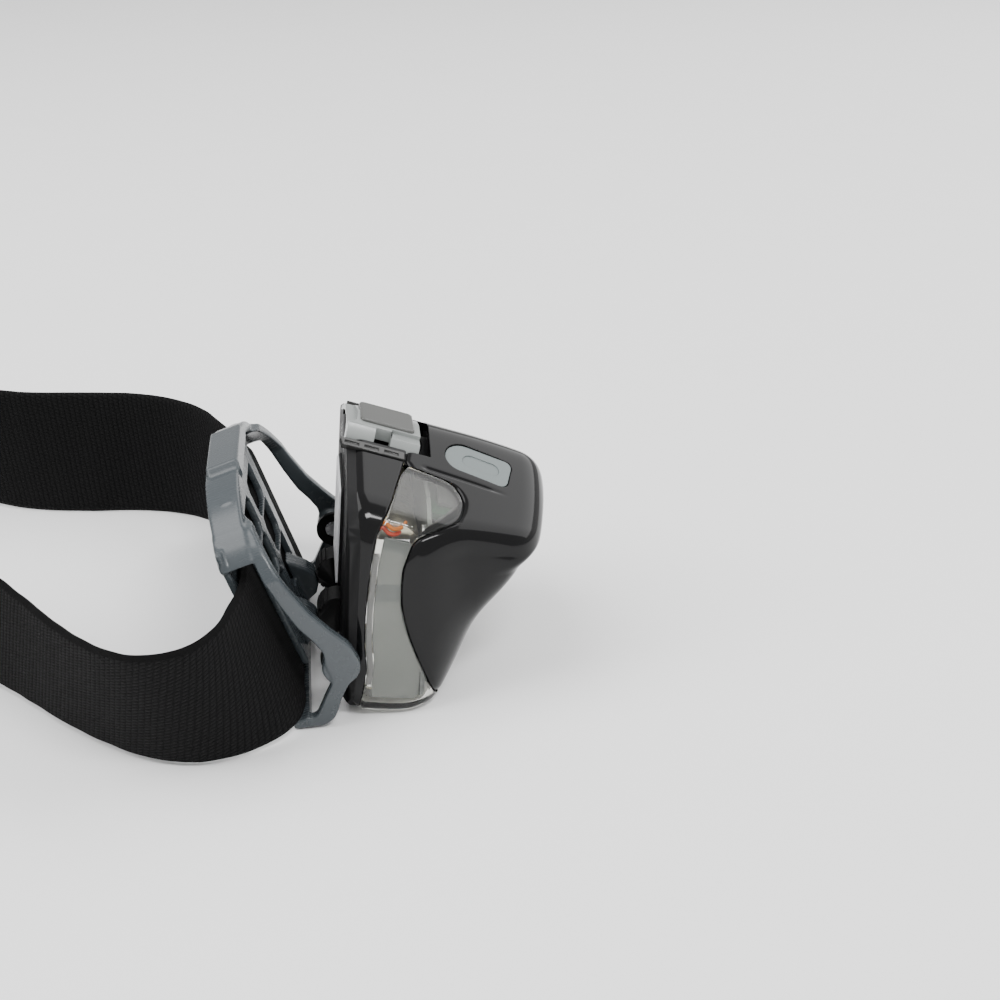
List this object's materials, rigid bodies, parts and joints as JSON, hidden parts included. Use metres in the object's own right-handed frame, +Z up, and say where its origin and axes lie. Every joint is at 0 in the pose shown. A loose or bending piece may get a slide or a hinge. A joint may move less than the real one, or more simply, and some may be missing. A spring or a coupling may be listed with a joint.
{
  "type": "headlamp",
  "caption": "Head-worn battery lamp with an elastic head band, a tilting bracket, push buttons on a sloping roof, clear side strips and a slanted front window.",
  "frame": {"origin": "middle of the base of the whole object's bounding box, on the table", "axes": "+X is the way the lamp shines, +Z is up, +Y is to the wearer's left"},
  "size_m": [0.2117, 0.1398, 0.0457],
  "materials": {
    "bracket_plastic": "satin gloss",
    "webbing": "woven elastic",
    "black_fitting": "satin",
    "steel": "brushed",
    "black_shell": "high gloss",
    "cell_can": "satin with a printed sleeve",
    "spring_steel": "bright",
    "label": "matt film",
    "clear_plastic": "clear, faintly yellow",
    "frosted_frame": "frosted",
    "gasket_rubber": "soft",
    "reflector_metal": "metallised",
    "emitter": "phosphor and clear dome",
    "board_white": "solder mask",
    "sink_metal": "machined",
    "bezel_plastic": "satin",
    "small_led": "clear epoxy",
    "board_green": "solder mask",
    "switch_black": "satin",
    "membrane_rubber": "soft",
    "wire_sheath": "PVC sheath",
    "button_plastic": "translucent",
    "latch_plastic": "translucent",
    "pad_plastic": "ribbed"
  },
  "bodies": {
    "bracket": {"tilt_bracket": "bracket_plastic", "head_band": "webbing", "band_ring": "black_fitting", "pivot_pins": "steel"},
    "slider": {"band_slider": "black_fitting", "band_slider_fold": "webbing"},
    "battery_case": {"rear_shell": "black_shell", "door_pin": "steel", "cells": "cell_can", "contact_springs": "spring_steel", "contact_plates": "spring_steel", "rear_label": "label"},
    "front_unit": {"front_shell": "black_shell", "lens_body": "clear_plastic", "inner_frame": "frosted_frame", "seam_gasket": "gasket_rubber", "reflector": "reflector_metal", "main_led": "emitter", "led_board": "board_white", "heat_spreader": "sink_metal", "front_bezel": "bezel_plastic", "aux_leds": "small_led", "main_board": "board_green", "tact_switches": "switch_black", "button_membrane": "membrane_rubber", "battery_wires": "wire_sheath", "frame_screws": "steel", "latch_pin": "steel"},
    "near_button": {"near_button": "button_plastic"},
    "far_button": {"far_button": "button_plastic"},
    "latch": {"top_latch": "latch_plastic", "latch_pad": "pad_plastic"}
  },
  "joints": [
    {"name": "tilt", "type": "hinge", "parent": "bracket", "child": "battery_case", "pos_m": [0.0699, -0.0236, 0.0108], "axis": [0, 1, 0], "range_deg": [-24, 30]},
    {"name": "open_front", "type": "hinge", "parent": "battery_case", "child": "front_unit", "pos_m": [0.07159, -0.0236, 0.00275], "axis": [0, 1, 0], "range_deg": [0, 65]},
    {"name": "open_latch", "type": "hinge", "parent": "front_unit", "child": "latch", "pos_m": [0.08449, -0.0236, 0.03876], "axis": [0, 1, 0], "range_deg": [0, 24]},
    {"name": "press_near", "type": "slide", "parent": "front_unit", "child": "near_button", "axis": [-0.2949, 0.3616, -0.8845], "range_m": [0, 0.0007], "stiffness_N_per_m": 600, "springref_m": -0.0005},
    {"name": "press_far", "type": "slide", "parent": "front_unit", "child": "far_button", "axis": [-0.2949, -0.3616, -0.8845], "range_m": [0, 0.0007], "stiffness_N_per_m": 600, "springref_m": -0.0005},
    {"name": "adjust_band", "type": "slide", "parent": "bracket", "child": "slider", "axis": [0.96, -0.28, 0], "range_m": [0, 0.008]}
  ]
}
